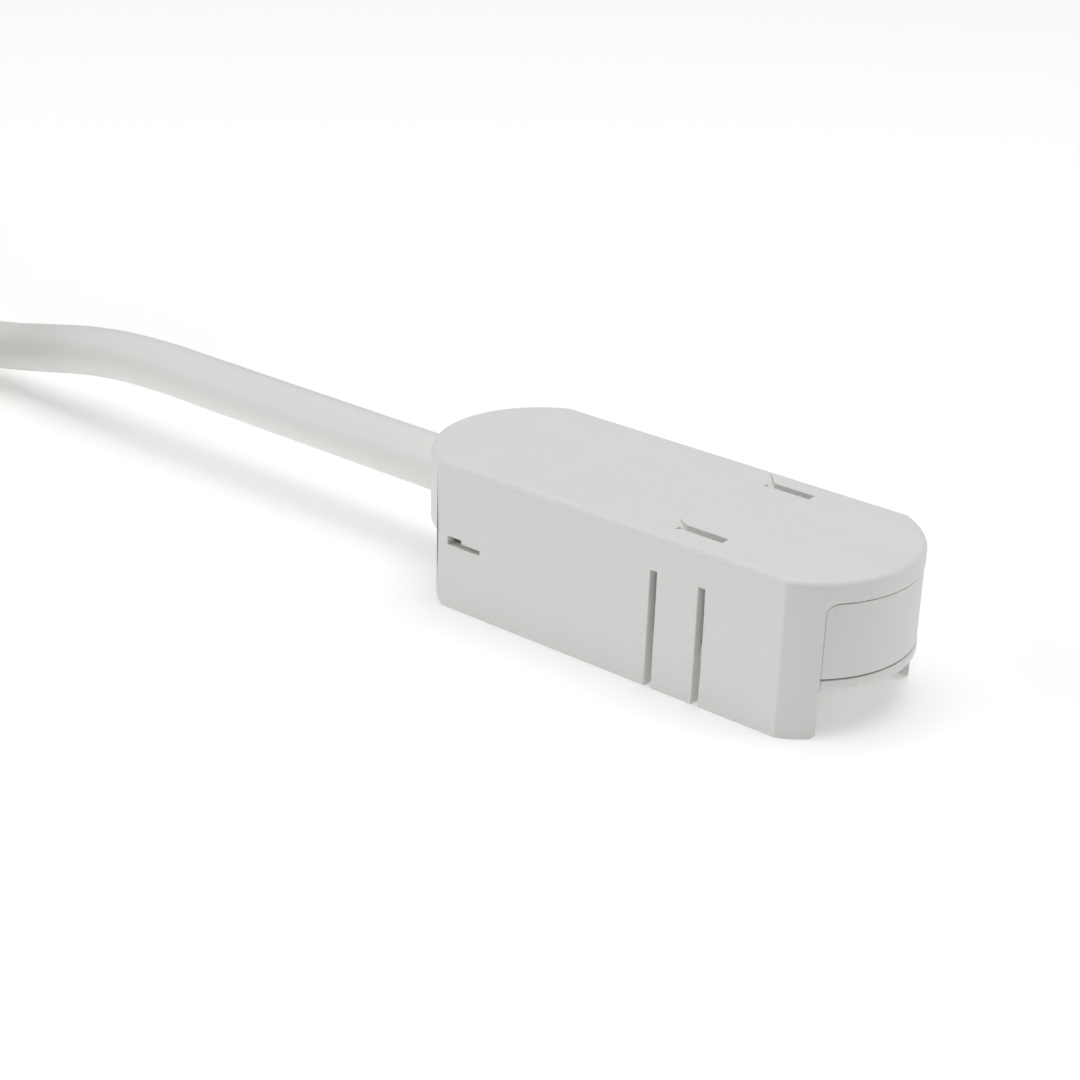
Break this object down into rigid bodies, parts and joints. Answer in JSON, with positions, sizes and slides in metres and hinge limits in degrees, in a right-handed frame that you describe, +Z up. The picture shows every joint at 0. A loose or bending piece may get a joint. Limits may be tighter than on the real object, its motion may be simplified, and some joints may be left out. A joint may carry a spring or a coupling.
{
  "type": "door contact sensor",
  "caption": "Surface-mount reed contact: slim capsule with a flying cable under a clip-on hood with long side skirts, snap fingers and a rounded nose.",
  "frame": {"origin": "middle of the hood, on the plane of its rim", "axes": "+X towards the rounded nose, the cable leaves along -X, +Y to the far side, +Z up through the top"},
  "size_m": [0.2308, 0.051, 0.0211],
  "materials": {
    "hood_plastic": "fine satin moulding texture, light warm grey-white",
    "capsule_plastic": "fine satin moulding texture, light warm grey-white",
    "cable_jacket": "soft PVC, slightly lighter than the hood",
    "sleeve_rubber": "matt dark rubber",
    "nylon": "translucent natural nylon",
    "core_white": "PVC insulation",
    "core_brown": "PVC insulation",
    "core_green": "PVC insulation",
    "core_yellow": "PVC insulation",
    "board_laminate": "solder mask over glass laminate",
    "copper": "thin copper under solder mask",
    "solder": "tin, satin",
    "silicone": "cloudy silicone",
    "reed_glass": "green tinted glass tube",
    "reed_metal": "plated nickel iron",
    "strap_fabric": "hook-and-loop strap"
  },
  "bodies": {
    "sensor": {"capsule_body": "capsule_plastic", "bottom_lid": "capsule_plastic", "cable_sleeve": "sleeve_rubber", "cable_clamp_tie": "nylon", "jacket_inner_end": "cable_jacket", "core_white": "core_white", "core_brown": "core_brown", "core_green": "core_green", "core_yellow": "core_yellow", "circuit_board": "board_laminate", "copper_tracks": "copper", "solder_joints": "solder", "reed_adhesive": "silicone", "reed_glass": "reed_glass", "fixed_reed": "reed_metal", "moving_reed_lead": "reed_metal", "cable_run": "cable_jacket", "cable_hank": "cable_jacket", "hank_strap": "strap_fabric", "lead_white": "core_white", "lead_brown": "core_brown", "lead_green": "core_green", "lead_yellow": "core_yellow", "tinned_tips": "solder"},
    "hood": {"hood_cover": "hood_plastic"},
    "finger_near": {"snap_finger_near": "hood_plastic"},
    "finger_far": {"snap_finger_far": "hood_plastic"},
    "reed_contact": {"moving_reed_blade": "reed_metal"}
  },
  "joints": [
    {"name": "hood_lift_off", "type": "slide", "parent": "sensor", "child": "hood", "axis": [0, 0, 1], "range_m": [0, 0.014]},
    {"name": "near_finger_spring", "type": "hinge", "parent": "hood", "child": "finger_near", "pos_m": [0.0074, -0.0086, 0.01], "axis": [-1, 0, 0], "range_deg": [0, 7], "stiffness_Nm_per_rad": 0.4},
    {"name": "far_finger_spring", "type": "hinge", "parent": "hood", "child": "finger_far", "pos_m": [0.0074, 0.0086, 0.01], "axis": [1, 0, 0], "range_deg": [0, 7], "stiffness_Nm_per_rad": 0.4},
    {"name": "reed_closing", "type": "hinge", "parent": "sensor", "child": "reed_contact", "pos_m": [0.0023, 0, 0.00817], "axis": [0, 1, 0], "range_deg": [0, 2.4], "stiffness_Nm_per_rad": 0.0006}
  ]
}
